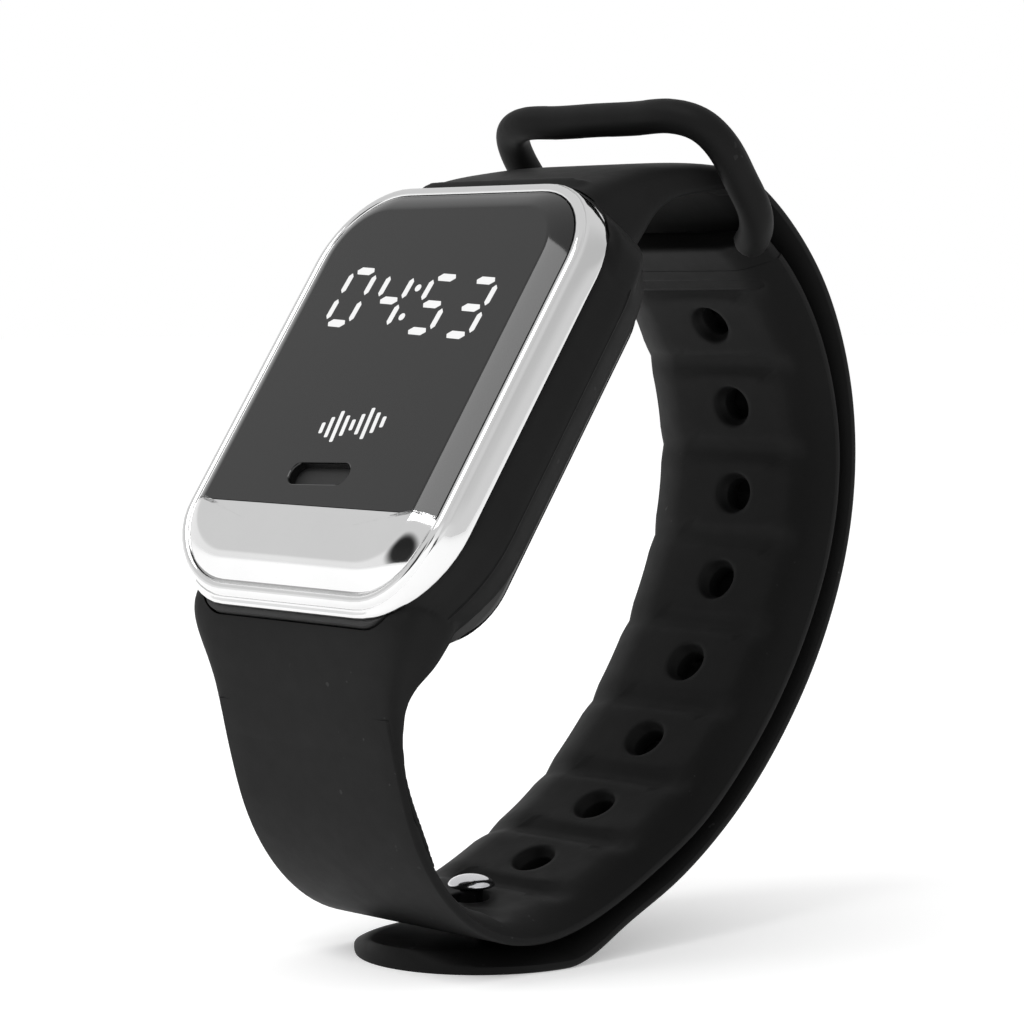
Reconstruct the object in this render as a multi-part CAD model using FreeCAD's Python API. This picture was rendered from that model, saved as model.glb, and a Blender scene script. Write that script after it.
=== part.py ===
import FreeCAD, Part
import math
import os
from FreeCAD import Vector

# A silicone wristband digital watch, closed into its ring and standing on the flat end of its tail.
# Millimetres. X is across the strap, Y points back, Z up. Side profiles are (y, z) pairs in a working
# frame whose origin is the lower end of the lens; the last step moves everything onto the floor.

# ---- straps ----
BAND_W = 19.0                # strap width
STRAP_T = 1.9                # holed strap, thickness along its middle
STRAP_EDGE_T = 0.75          # holed strap, thickness at its edges
TAIL_T = 1.6                 # stud strap, thickness along its middle
TAIL_EDGE_T = 0.7            # stud strap, thickness at its edges
EDGE_ROUND = 0.35            # rounding of the outer edges of both straps
CROWN_RUN = 3.2              # width of the rolled shoulder on the wrist side
HOLE_PITCH = 7.5             # along the outer face of the bent strap; 7 on the wrist side
HOLE_COUNT = 9
BORE_R = 1.62                # hole through the strap
RECESS_R = 1.85              # shallow recess round each hole, on the wrist side
RECESS_D = 0.45
GROOVE_R = 2.6               # cutter radius of the shallow cross grooves
GROOVE_D = 0.38
TAIL_GROOVE_LEAD = 0.4       # first groove of the stud strap, in pitches from its flat end
FLAT_Z = -33.7               # outer face of the tail's flat end
FLAT_START_Y = 16.8
TIP_Y = 7.4
HINGE_GAP = 0.2              # cut between neighbouring tail segments

# ---- stud and loop ----
STUD_Y = 15.8                # where the stud sits on the flat end
STUD_HEAD_R = 1.1
STUD_POST_R = 0.85
STUD_HEAD_T = 0.85
STUD_HEAD_ROUND = 0.38
STUD_LIFT = 0.85             # gap between the head and the strap it holds
STUD_BASE_R = 2.4
STUD_BASE_T = 0.55
STUD_BASE_SUNK = 0.1         # base disc above the face the strap stands on
LOOP_R = 1.3                 # half the thickness of the loop
LOOP_GAP = 0.3               # between the loop's legs and the strap that runs through it
LOOP_ROOT_IN = 1.0           # loop's roots, in from the strap's edges
LOOP_LEAN = 2.6              # length over which the legs lean out from the roots
LOOP_CORNER_R = 3.4

# ---- watch head, face up: x across, y along the face, z out of it ----
FACE_TILT = 55.65            # rise of the watch face's long axis, degrees
CAP_W = 29.0                 # chrome bezel, widest
CAP_Y0, CAP_Y1 = -6.9, 28.5  # bezel ends, along the face
CORNER_R = 7.2               # bezel corner radius
BEZEL_TOP, BEZEL_WIDEST, BEZEL_LOW = -0.75, -2.3, -3.1
RIM_IN = 0.5                 # rim's lip is this much narrower than the bezel
LIP_T = 0.75                 # thickness of the lip
FACE_GAP = 0.06              # lens and chin to lip, and lens to chin
LENS_T = 1.5
CHIN_T = 2.0
LENS_ROLL = 1.7              # width of the rolled edge of the lens
FACE_END_ROLL = 3.0          # the same at the chin's end
CASE_WALL = 1.1
CASE_CLEAR = 0.12            # case to silicone frame
CASE_FLOOR = -9.1
SHELF_T = 0.45               # gap under the lens that its seal and the display fill
CAVITY_TOP = -2.9
WINDOW = (9.6, 1.0, 25.2, 2.5)   # half width, y0, y1, corner radius
TONGUE_IN = 2.2              # case's lower tongue, in from the case's sides
TONGUE_OUT = 1.3             # and out past its end
TONGUE_LOW = -4.9
FRAME_WALL = 1.6
FRAME_LOW = -9.0
COVER_LOW = -10.8
COVER_IN = 1.5               # back cover, in from the case's outside
COVER_WALL = 1.0
CONTACT_R = 0.97
CONTACT_SPREAD = 2.5         # charging contacts, from the middle
LOOSE = 0.03                 # clearance of parts that sit in one another

# ---- inside the watch head ----
PCB_T = 0.8
PCB_Z = -4.7
PCB_CLEAR = 0.4
SKIN = 0.02                  # clearance of parts soldered or laid on a board
BOSS_AT = [(-9.0, 23.6), (9.0, 23.6), (-9.0, -2.6), (9.0, -2.6)]
BOSS_R, PILOT_R, SCREW_HOLE_R = 1.3, 0.5, 0.65
SCREW_R, SCREW_HEAD_R, SCREW_HEAD_T, SCREW_TOP = 0.48, 1.0, 0.58, -3.5
DISPLAY = (-9.3, 9.5, 4.2, 21.8)   # x0, x1, y0, y1 of the display's board and light shield
DISPLAY_LOW, DISPLAY_TOP = -4.0, -3.42
LED_LOW, LED_TOP = -3.4, -3.02
SHIELD_LOW, SHIELD_TOP = -3.0, -1.85
BARS_LOW, BARS_TOP = -2.75, -1.75
LED_W, BACKLIGHT_W = 0.5, 0.8
BACKLIGHT_SPREAD = 2.0
DIGIT = (2.7, 4.6)           # centre lines of one digit
DIGIT_Y = 17.3
DIGIT_XS = (-6.45, -2.15, 2.75, 7.0)
SEG_W = 0.6
SEG_GAP = 0.5
COLON_R = 0.3
COLON_RISE = 1.1
BAR_HEIGHTS = (0.9, 1.7, 2.6, 1.7, 0.9, 1.7, 2.6, 1.7, 0.9)
BAR_PITCH = 0.78
BAR_W = 0.36
BAR_AT = (0.75, 6.7)
SLOT = (6.3, 1.75)
SLOT_Y = 2.65
MESH_RIM = 0.6
MESH_LOW = -1.95
SOUNDER_R = 5.5
SOUNDER_Y = (-4.0, 4.1)
BATTERY = (17.0, 15.0, 3.2)
BATTERY_LOW = -9.0
CHIP = (-2.6, 2.6, 20.2, 24.4, 0.9)       # x0, x1, y0, y1, height
CRYSTAL = (0.7, -2.6, 0.6, 0.6, 1.2)      # half width, y0, y1, corner radius, height

# ---- side profiles of the outer face of each strap, neck, skirt and loop ----
HOLED_LINE = [(-0.5, -13.5), (0.05, -16.0), (0.9, -19.3), (1.8, -22.1), (3.3, -25.15), (5.9, -28.35),
              (9.2, -30.6), (14.6, -31.6), (20.2, -30.3), (26.0, -27.6), (30.8, -24.7), (34.5, -21.4),
              (37.8, -17.7), (40.55, -13.8), (42.95, -9.4), (44.6, -5.2), (45.5, -1.0), (45.65, 3.3),
              (45.0, 7.3), (43.7, 11.1), (41.6, 14.8), (39.2, 17.6), (36.8, 19.6)]
HOLED_LOWEST = 7             # which point of HOLED_LINE is the lowest
TAIL_LINE = [(34.3, 24.1), (37.6, 22.3), (40.95, 19.4), (43.8, 15.8), (45.85, 11.6), (47.0, 7.6),
             (47.5, 3.4), (47.3, -1.2), (46.4, -5.6), (44.75, -10.1), (42.25, -14.8), (39.3, -18.95),
             (35.8, -22.85), (31.8, -26.25), (27.15, -29.2), (22.3, -31.55), (FLAT_START_Y, FLAT_Z)]
TAIL_START_DIR = (0.94, -0.34)
HINGE_POINTS = (10, 12, 14)  # which points of TAIL_LINE carry the bends
NECK_TOP = [(15.9, 22.3), (18.4, 23.4), (24.7, 24.5), (30.5, 24.6), (34.3, 24.1)]
NECK_UNDER = [(33.9, 22.3), (30.5, 22.0), (27.2, 21.5), (25.4, 20.4), (24.6, 18.7), (21.5, 15.5)]
NECK_FLARE = (12.2, 14.0, 26.0)      # half width at the watch head, start and end of the narrowing
SKIRT = [(-1.2, -9.0), (-0.95, -11.2), (-0.5, -13.5), (1.4, -13.5), (1.95, -12.2), (2.9, -10.7),
         (4.4, -8.4), (1.2, -6.0)]
SKIRT_FLARE = (12.6, -6.0, -13.6)
SKIRT_LOW = -13.5
LOOP_SIDE = [(36.3, 18.6), (28.5, 27.8)]      # root and bar

# ---- derived sizes ----
STRAP_HW = BAND_W / 2
CAP_HW = CAP_W / 2
RIM_HW = CAP_HW - RIM_IN
OPENING_HW = RIM_HW - LIP_T
OPENING_IN = RIM_IN + LIP_T          # bezel's opening, in from the bezel's ends
FACE_HW = OPENING_HW - FACE_GAP
FACE_IN = OPENING_IN + FACE_GAP
FACE_R = CORNER_R - FACE_IN
CASE_HW = CAP_HW - FRAME_WALL
CASE_Y0, CASE_Y1 = CAP_Y0 + 0.9, CAP_Y1 - 1.3
CASE_R = CORNER_R - 1.2
CAVITY_HW = CASE_HW - CASE_WALL
COVER_HW = CASE_HW - COVER_IN
MID_Y = (CAP_Y0 + CAP_Y1) / 2
BOARD_LOW = PCB_Z - PCB_T - SKIN
LOOP_X = STRAP_HW + LOOP_GAP + LOOP_R
FAR = 60.0                           # past every part

parts = {}


def box(x0, x1, y0, y1, z0, z1):
    return Part.makeBox(x1 - x0, y1 - y0, z1 - z0, Vector(x0, y0, z0))


def post(r, x, y, z0, z1):
    return Part.makeCylinder(r, z1 - z0, Vector(x, y, z0), Vector(0, 0, 1))


def posts(r, places, z0, z1):
    return Part.makeCompound([post(r, x, y, z0, z1) for x, y in places])


def fuse(shapes):
    return shapes[0].multiFuse(shapes[1:]).removeSplitter()


def rounded_rectangle(hw, y0, y1, r, z):
    """Closed line: half width hw, from y0 to y1, corner radius r, at height z."""
    k = r * (1 - math.sqrt(0.5))
    rim = [(-hw + r, y0), (hw - r, y0), (hw, y0 + r), (hw, y1 - r), (hw - r, y1), (-hw + r, y1),
           (-hw, y1 - r), (-hw, y0 + r)]
    mid = [(hw - k, y0 + k), (hw - k, y1 - k), (-hw + k, y1 - k), (-hw + k, y0 + k)]
    edges = []
    for i in range(4):
        a, b, c = rim[2 * i], rim[2 * i + 1], rim[(2 * i + 2) % 8]
        edges.append(Part.LineSegment(Vector(*a, z), Vector(*b, z)).toShape())
        edges.append(Part.Arc(Vector(*b, z), Vector(*mid[i], z), Vector(*c, z)).toShape())
    return Part.Wire(edges)


def stack(levels):
    """Solid through rounded rectangles, each given as (half width, y0, y1, corner radius, z)."""
    return Part.makeLoft([rounded_rectangle(*level) for level in levels], True, True)


def slab(hw, y0, y1, r, z0, z1):
    return stack([(hw, y0, y1, r, z0), (hw, y0, y1, r, z1)])


def inset(d, r, z0, z1):
    """Slab that lies d inside the bezel's outline all round."""
    return slab(CAP_HW - d, CAP_Y0 + d, CAP_Y1 - d, r, z0, z1)


def inset_case(d, r, z0, z1):
    """Slab that lies d inside the case's outline all round."""
    return slab(CASE_HW - d, CASE_Y0 + d, CASE_Y1 - d, r, z0, z1)


def in_plane(points, x=0.0):
    return [Vector(x, y, z) for y, z in points]


def spline(points):
    curve = Part.BSplineCurve()
    curve.interpolate(points)
    return curve


def rounded_line(points, radius):
    """Wire through points, with its corners rounded."""
    edges, start = [], points[0]
    for before, corner, after in zip(points, points[1:], points[2:]):
        back, on = (before - corner).normalize(), (after - corner).normalize()
        half = back.getAngle(on) / 2
        reach = radius / math.tan(half)
        middle = corner + (back + on).normalize() * (radius / math.sin(half) - radius)
        edges += [Part.LineSegment(start, corner + back * reach).toShape(),
                  Part.Arc(corner + back * reach, middle, corner + on * reach).toShape()]
        start = corner + on * reach
    return Part.Wire(edges + [Part.LineSegment(start, points[-1]).toShape()])


def tangent_at(curve, u):
    return Vector(curve.tangent(u)[0]).normalize()


def wrist_side(curve, u, turn):
    """Unit normal of a strap's line, towards the wrist; turn is +1 or -1, for the way the line runs."""
    t = tangent_at(curve, u)
    return Vector(0, -t.z, t.y) * turn


def walk(curve, u_from, distance):
    """Parameter reached by going a signed distance along the curve."""
    first = curve.FirstParameter
    return curve.parameterAtDistance(curve.length(first, u_from) + distance, first)


def strap_section(origin, inward, mid_t, edge_t):
    """Strap cross-section: flat outer face, round edges, rolled shoulders up to the middle."""
    r, run = EDGE_ROUND, CROWN_RUN
    lean = 0.3 * r
    half = [(STRAP_HW - r, 0), (STRAP_HW - lean, lean), (STRAP_HW, r), (STRAP_HW, edge_t),
            (STRAP_HW - 0.3 * run, edge_t + 0.68 * (mid_t - edge_t)), (STRAP_HW - run, mid_t)]
    right = [origin + Vector(x, 0, 0) + inward * d for x, d in half]
    left = [origin + Vector(-x, 0, 0) + inward * d for x, d in half]
    edges = [Part.LineSegment(left[0], right[0]), Part.Arc(right[0], right[1], right[2]),
             Part.LineSegment(right[2], right[3]), Part.Arc(right[3], right[4], right[5]),
             Part.LineSegment(right[5], left[5]), Part.Arc(left[5], left[4], left[3]),
             Part.LineSegment(left[3], left[2]), Part.Arc(left[2], left[1], left[0])]
    return Part.Wire([edge.toShape() for edge in edges])


def sweep(path, section):
    shell = Part.BRepOffsetAPI.MakePipeShell(path)
    shell.setBiNormalMode(Vector(1, 0, 0))
    shell.add(section, False, False)
    shell.build()
    shell.makeSolid()
    return shell.shape()


def cross_groove(curve, u, thick, turn):
    """Cutter for a shallow groove across the wrist side."""
    centre = curve.value(u) + wrist_side(curve, u, turn) * (thick - GROOVE_D + GROOVE_R)
    return Part.makeCylinder(GROOVE_R, 2 * BAND_W, centre - Vector(BAND_W, 0, 0), Vector(1, 0, 0))


def flared(sizes, far, lift, direction):
    """Block whose plan narrows from a half width to the strap's by a concave curve, then runs to far.
    lift turns a point (x, a) of the plan into a vector."""
    wide, a0, a1 = sizes
    spare = wide - STRAP_HW
    ease = [(wide, a0), (wide - 0.62 * spare, a0 + 0.25 * (a1 - a0)),
            (STRAP_HW + 0.12 * spare, a0 + 0.75 * (a1 - a0)), (STRAP_HW, a1)]
    sides = [spline([lift(x, a) for x, a in ease]), spline([lift(-x, a) for x, a in ease[::-1]])]
    ends = [Part.makePolygon([lift(x, a) for x, a in
                              ((STRAP_HW, a1), (STRAP_HW, far), (-STRAP_HW, far), (-STRAP_HW, a1))]),
            Part.makePolygon([lift(-wide, a0), lift(wide, a0)])]
    edges = [sides[0].toShape()] + ends[0].Edges + [sides[1].toShape()] + ends[1].Edges
    return Part.Face(Part.Wire(edges)).extrude(direction)


def across(points):
    """Solid with a side profile, as wide as the watch head and more."""
    return Part.Face(Part.Wire(points)).extrude(Vector(2 * CAP_W, 0, 0))


def tilted(shape):
    """Face-up frame to the standing frame."""
    turned = shape.copy()
    turned.rotate(Vector(0, 0, 0), Vector(1, 0, 0), FACE_TILT)
    return turned


def largest(shape):
    return max(shape.Solids, key=lambda solid: solid.Volume)


# ---- holed strap with its loop ----
holed_line = spline(in_plane(HOLED_LINE))
u0 = holed_line.FirstParameter
holed = sweep(Part.Wire(holed_line.toShape()),
              strap_section(holed_line.value(u0), wrist_side(holed_line, u0, 1), STRAP_T, STRAP_EDGE_T))

loop_root, loop_bar = in_plane(LOOP_SIDE)
lean = (loop_bar - loop_root).normalize() * LOOP_LEAN
out = Vector(LOOP_X, 0, 0)
loop_half = [loop_root + Vector(STRAP_HW - LOOP_ROOT_IN, 0, 0), loop_root + lean + out, loop_bar + out]
loop_line = rounded_line(loop_half + [Vector(-p.x, p.y, p.z) for p in loop_half[::-1]], LOOP_CORNER_R)
ring = Part.Circle(loop_half[0], loop_half[1] - loop_half[0], LOOP_R)
loop = loop_line.makePipeShell([Part.Wire(ring.toShape())], True, True)

u_stud = holed_line.parameter(Vector(0, STUD_Y, HOLED_LINE[HOLED_LOWEST][1]))
cutters = [box(-BAND_W, BAND_W, -BAND_W, BAND_W, SKIRT_LOW, FAR)]
for i in range(HOLE_COUNT):
    u = walk(holed_line, u_stud, i * HOLE_PITCH)
    inward, foot = wrist_side(holed_line, u, 1), holed_line.value(u)
    cutters.append(Part.makeCylinder(BORE_R, 3 * STRAP_T, foot - inward * STRAP_T, inward))
    cutters.append(Part.makeCylinder(RECESS_R, STRAP_T, foot + inward * (STRAP_T - RECESS_D), inward))
for i in range(HOLE_COUNT + 1):
    u = walk(holed_line, u_stud, (i - 0.5) * HOLE_PITCH)
    cutters.append(cross_groove(holed_line, u, STRAP_T, 1))
parts["holed_strap"] = holed.fuse(loop).cut(Part.makeCompound(cutters)).removeSplitter()

# ---- stud strap: bends, flat end and tip ----
tail_line = Part.BSplineCurve()
tail_line.interpolate(Points=in_plane(TAIL_LINE), InitialTangent=Vector(0, *TAIL_START_DIR),
                      FinalTangent=Vector(0, -1, 0), Scale=False)
flat_line = Part.LineSegment(Vector(0, FLAT_START_Y, FLAT_Z), Vector(0, TIP_Y, FLAT_Z))
u0 = tail_line.FirstParameter
section = strap_section(tail_line.value(u0), wrist_side(tail_line, u0, -1), TAIL_T, TAIL_EDGE_T)
tip_centre = TIP_Y + STRAP_HW
tip_keep = fuse([box(-BAND_W, BAND_W, tip_centre, FAR, FLAT_Z - 1, FAR),
                 post(STRAP_HW, 0, tip_centre, FLAT_Z - 1, FLAT_Z + 3 * TAIL_T)])
tail_cutters = []
for i in range(HOLE_COUNT):
    u = walk(tail_line, tail_line.LastParameter, -(i + TAIL_GROOVE_LEAD) * HOLE_PITCH)
    tail_cutters.append(cross_groove(tail_line, u, TAIL_T, -1))
for i in HINGE_POINTS:
    u = tail_line.parameter(Vector(0, *TAIL_LINE[i]))
    inward = wrist_side(tail_line, u, -1)
    gap = box(-BAND_W, BAND_W, -HINGE_GAP / 2, HINGE_GAP / 2, -1, TAIL_T + 1)
    gap.rotate(Vector(0, 0, 0), Vector(1, 0, 0), math.degrees(math.atan2(-inward.y, inward.z)))
    gap.translate(tail_line.value(u))
    tail_cutters.append(gap)
tail = sweep(Part.Wire([tail_line.toShape(), flat_line.toShape()]), section).common(tip_keep)
segments = tail.cut(Part.makeCompound(tail_cutters)).Solids
segments.sort(key=lambda solid: tail_line.parameter(solid.CenterOfMass))
parts["tail_base"], parts["tail_upper"], parts["tail_middle"], tail_end = segments

# ---- stud ----
bore_low = FLAT_Z + STUD_BASE_T
head_low = holed_line.value(u_stud).z + STRAP_T + STUD_LIFT
head_top = head_low + STUD_HEAD_T
head = post(STUD_HEAD_R, 0, STUD_Y, head_low, head_top)
head = head.makeFillet(STUD_HEAD_ROUND, [e for e in head.Edges if e.BoundBox.ZLength < 0.01])
parts["stud"] = fuse([post(STUD_POST_R, 0, STUD_Y, bore_low, head_top - STUD_HEAD_T / 2), head])
parts["stud_base"] = post(STUD_BASE_R, 0, STUD_Y, FLAT_Z + STUD_BASE_SUNK, bore_low)
parts["tail_end"] = tail_end.cut(fuse([post(STUD_BASE_R, 0, STUD_Y, FLAT_Z - 1, bore_low),
                                       post(STUD_POST_R, 0, STUD_Y, FLAT_Z - 1, head_low)]))

# ---- silicone frame round the watch, and the skirt that leads into the holed strap ----
frame_block = tilted(stack([
    (CAP_HW - 1.5, CAP_Y0 - 0.2, CAP_Y1 + 0.2, CORNER_R, FRAME_LOW),
    (CAP_HW - 0.4, CAP_Y0 - 1.3, CAP_Y1 + 0.9, CORNER_R + 0.6, FRAME_LOW + 1.2),
    (CAP_HW + 0.15, CAP_Y0 - 1.7, CAP_Y1 + 1.1, CORNER_R + 0.8, FRAME_LOW + 3.0),
    (CAP_HW, CAP_Y0 - 1.7, CAP_Y1 + 1.1, CORNER_R + 0.8, BEZEL_LOW - 1.9),
    (CAP_HW - 0.05, CAP_Y0 + 0.2, CAP_Y1, CORNER_R + 0.2, BEZEL_LOW - 0.05)]))
skirt = across(Part.makePolygon(in_plane(SKIRT + [SKIRT[0]], -CAP_W)).Edges)
skirt = skirt.common(flared(SKIRT_FLARE, SKIRT_LOW - 0.5, lambda x, a: Vector(x, -5, a), Vector(0, 20, 0)))
pocket = inset_case(-CASE_CLEAR, CASE_R + CASE_CLEAR, FRAME_LOW - 4, -LENS_T)
tongue_room = slab(CASE_HW - TONGUE_IN + 0.2, CASE_Y0 - TONGUE_OUT - CASE_CLEAR, CASE_Y0 + 6, 3.0,
                   TONGUE_LOW - 0.15, -LENS_T)
bezel_room = inset(-CASE_CLEAR, CORNER_R + CASE_CLEAR, BEZEL_LOW - 0.05, 8)
rooms = [tilted(room) for room in (pocket, tongue_room, bezel_room)]
frame = frame_block.fuse(skirt)
for room in rooms:
    frame = frame.cut(room)
parts["frame"] = largest(frame).removeSplitter()

# ---- neck: wide at the frame, strap width where it enters the loop ----
neck_under = Part.makePolygon(in_plane([NECK_TOP[-1]] + NECK_UNDER + [NECK_TOP[0]], -CAP_W))
neck = across([spline(in_plane(NECK_TOP, -CAP_W)).toShape()] + neck_under.Edges)
neck = neck.common(flared(NECK_FLARE, NECK_TOP[-1][0] + 1.7, lambda x, a: Vector(x, a, 10), Vector(0, 0, 20)))
for solid in (frame_block, rooms[0], rooms[2], parts["tail_base"]):
    neck = neck.cut(solid)
parts["neck"] = largest(neck)

# ---- watch head: chrome bezel, lens and chin ----
head_parts = {}
bezel = stack([(CAP_HW, CAP_Y0, CAP_Y1, CORNER_R, BEZEL_LOW),
               (CAP_HW + 0.05, CAP_Y0 - 0.05, CAP_Y1, CORNER_R, BEZEL_WIDEST),
               (RIM_HW, CAP_Y0 + RIM_IN, CAP_Y1 - RIM_IN, CORNER_R - 0.4, BEZEL_TOP)])
head_parts["bezel"] = bezel.cut(inset(OPENING_IN, CORNER_R - OPENING_IN, BEZEL_LOW - 1, 1))

face_levels = [(0.0, -CHIN_T), (0.0, -0.8), (0.25, -0.38), (0.6, -0.1), (1.0, 0.0)]  # share of the roll, z
face = stack([(FACE_HW - share * LENS_ROLL, CAP_Y0 + FACE_IN + share * FACE_END_ROLL,
               CAP_Y1 - FACE_IN - share * LENS_ROLL, FACE_R, z) for share, z in face_levels])
slot_ends = (SLOT_Y - SLOT[1] / 2, SLOT_Y + SLOT[1] / 2)
slot_cut = slab(SLOT[0] / 2, *slot_ends, 0.49 * SLOT[1], -LENS_T - 1, 1)
head_parts["lens"] = face.common(box(-CAP_W, CAP_W, FACE_GAP / 2, FAR, -LENS_T, 1)).cut(slot_cut)
head_parts["chin"] = face.common(box(-CAP_W, CAP_W, -FAR, -FACE_GAP / 2, -CHIN_T, 1))

# ---- case, seals and back cover ----
case = fuse([inset_case(0, CASE_R, CASE_FLOOR, BEZEL_LOW),
             slab(CASE_HW - TONGUE_IN, CASE_Y0 - TONGUE_OUT, CASE_Y0 + 6, 3.0, TONGUE_LOW, BEZEL_LOW),
             inset(OPENING_IN + 0.1, CORNER_R - OPENING_IN - 0.1, BEZEL_LOW, -CHIN_T - 0.05)])
case = case.cut(inset_case(CASE_WALL, CASE_R - CASE_WALL, CASE_FLOOR - 1, CAVITY_TOP))
case = case.cut(slab(*WINDOW, TONGUE_LOW, 0))
bosses = [post(BOSS_R, x, y, PCB_Z, CAVITY_TOP + 0.05) for x, y in BOSS_AT]
head_parts["case"] = fuse([case] + bosses).cut(posts(PILOT_R, BOSS_AT, PCB_Z - 1, SCREW_TOP + 0.1))

window_hw, window_y0, window_y1, window_r = WINDOW
seal_ring = slab(window_hw + 1.3, window_y0 - 0.6, window_y1 + 0.8, window_r + 0.9,
                 -LENS_T - SHELF_T - 0.05, -LENS_T - LOOSE)
head_parts["lens_seal"] = seal_ring.cut(slab(window_hw + 0.2, window_y0 + 0.2, window_y1 - 0.2,
                                             window_r + 0.1, -LENS_T - 1.5, 0))

cover_levels = [(1.6, 1.7, 0.9, COVER_LOW), (0.6, 0.7, 0.3, COVER_LOW + 0.3), (0, 0, 0, COVER_LOW + 1.0),
                (0, 0, 0, CASE_FLOOR + 0.6)]       # inset of the sides, of the ends, of the corners, z
cover = stack([(COVER_HW - side, CASE_Y0 + COVER_IN + end, CASE_Y1 - COVER_IN - end,
                CASE_R - COVER_IN - corner, z) for side, end, corner, z in cover_levels])
cover_in = COVER_IN + COVER_WALL
contact_at = [(-CONTACT_SPREAD, MID_Y), (CONTACT_SPREAD, MID_Y)]
head_parts["back_cover"] = cover.cut(inset_case(cover_in, CASE_R - cover_in, COVER_LOW + 1.0, FAR)).cut(
    posts(CONTACT_R + LOOSE, contact_at, COVER_LOW - 1, CASE_FLOOR))
head_parts["charge_contacts"] = posts(CONTACT_R, contact_at, COVER_LOW, COVER_LOW + 1.1)
back_ring = inset_case(CASE_WALL + LOOSE, CASE_R - CASE_WALL, CASE_FLOOR + 0.1, CASE_FLOOR + 0.55)
head_parts["back_seal"] = back_ring.cut(
    inset_case(COVER_IN - LOOSE, CASE_R - COVER_IN + LOOSE, CASE_FLOOR - 1, CASE_FLOOR + 2))

# ---- boards, battery and sounder ----
board = inset_case(CASE_WALL + PCB_CLEAR, CASE_R - CASE_WALL - PCB_CLEAR - 0.3, PCB_Z - PCB_T, PCB_Z - SKIN)
head_parts["circuit_board"] = board.cut(posts(SCREW_HOLE_R, BOSS_AT, PCB_Z - 3, PCB_Z + 1))
head_parts["board_screws"] = posts(SCREW_R, BOSS_AT, BOARD_LOW, SCREW_TOP).fuse(
    posts(SCREW_HEAD_R, BOSS_AT, BOARD_LOW - SCREW_HEAD_T, BOARD_LOW))
head_parts["controller_chip"] = box(*CHIP[:4], BOARD_LOW - CHIP[4], BOARD_LOW)
head_parts["timing_crystal"] = slab(*CRYSTAL[:4], BOARD_LOW - CRYSTAL[4], BOARD_LOW)
head_parts["battery"] = slab(BATTERY[0] / 2, MID_Y - BATTERY[1] / 2, MID_Y + BATTERY[1] / 2, 1.2,
                             BATTERY_LOW, BATTERY_LOW + BATTERY[2])
head_parts["sounder"] = post(SOUNDER_R, 0, SLOT_Y + 0.6, -4.4, DISPLAY_TOP).common(
    box(-CAP_W, CAP_W, *SOUNDER_Y, -5, 0))
head_parts["slot_mesh"] = slab(SLOT[0] / 2 + MESH_RIM, slot_ends[0] - 0.43, slot_ends[1] + 0.43, 1.2,
                               MESH_LOW, -LENS_T - SKIN)
head_parts["display_board"] = box(*DISPLAY, DISPLAY_LOW, DISPLAY_TOP)


# ---- display: bars that light, bars that stay dark, and the shield that parts them ----
def digit_bar(x, y, length, upright):
    """One bar of a digit, pointed at both ends."""
    a, w = length / 2, SEG_W / 2
    corners = [(-a, 0), (-a + w, w), (a - w, w), (a, 0), (a - w, -w), (-a + w, -w), (-a, 0)]
    if upright:
        corners = [(q, p) for p, q in corners]
    face = Part.Face(Part.makePolygon([Vector(x + p, y + q, BARS_LOW) for p, q in corners]))
    return face.extrude(Vector(0, 0, BARS_TOP - BARS_LOW))


LIT = ("abcdef", "bcfg", "acdfg", "abcdg")   # bars lit in each of the four digits: 0, 4, 5 and 3
dw, dh = DIGIT
BARS = {"a": (0, dh / 2, False), "b": (dw / 2, dh / 4, True), "c": (dw / 2, -dh / 4, True),
        "d": (0, -dh / 2, False), "e": (-dw / 2, -dh / 4, True), "f": (-dw / 2, dh / 4, True),
        "g": (0, 0, False)}
lit, dark, led_at = [], [], []
for x0, lit_names in zip(DIGIT_XS, LIT):
    for name, (x, y, upright) in BARS.items():
        bar = digit_bar(x0 + x, DIGIT_Y + y, (dh / 2 if upright else dw) - 0.6 * SEG_GAP, upright)
        (lit if name in lit_names else dark).append(bar)
        led_at.append((x0 + x, DIGIT_Y + y, LED_W / 2))
colon_x = (DIGIT_XS[1] + DIGIT_XS[2]) / 2
for rise in (-COLON_RISE, COLON_RISE):
    lit.append(post(COLON_R, colon_x, DIGIT_Y + rise, BARS_LOW, BARS_TOP))
    led_at.append((colon_x, DIGIT_Y + rise, LED_W / 2))
symbol = []
for i, height in enumerate(BAR_HEIGHTS):
    x = BAR_AT[0] + (i - (len(BAR_HEIGHTS) - 1) / 2) * BAR_PITCH
    symbol.append(box(x - BAR_W / 2, x + BAR_W / 2, BAR_AT[1] - height / 2, BAR_AT[1] + height / 2,
                      BARS_LOW, BARS_TOP))
led_at += [(BAR_AT[0] + d, BAR_AT[1], BACKLIGHT_W / 2) for d in (-BACKLIGHT_SPREAD, 0, BACKLIGHT_SPREAD)]

head_parts["lit_segments"] = Part.makeCompound(lit)
head_parts["dark_segments"] = Part.makeCompound(dark)
head_parts["sound_symbol"] = Part.makeCompound(symbol)
through = []
for bar in lit + dark + symbol:
    deep = bar.copy()
    deep.translate(Vector(0, 0, -0.5))
    through += [bar.copy(), deep]
head_parts["light_shield"] = box(*DISPLAY, SHIELD_LOW, SHIELD_TOP).cut(Part.makeCompound(through))
head_parts["led_chips"] = Part.makeCompound([box(x - a, x + a, y - a, y + a, LED_LOW, LED_TOP)
                                             for x, y, a in led_at])

for name, shape in head_parts.items():
    parts[name] = tilted(shape)

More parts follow.
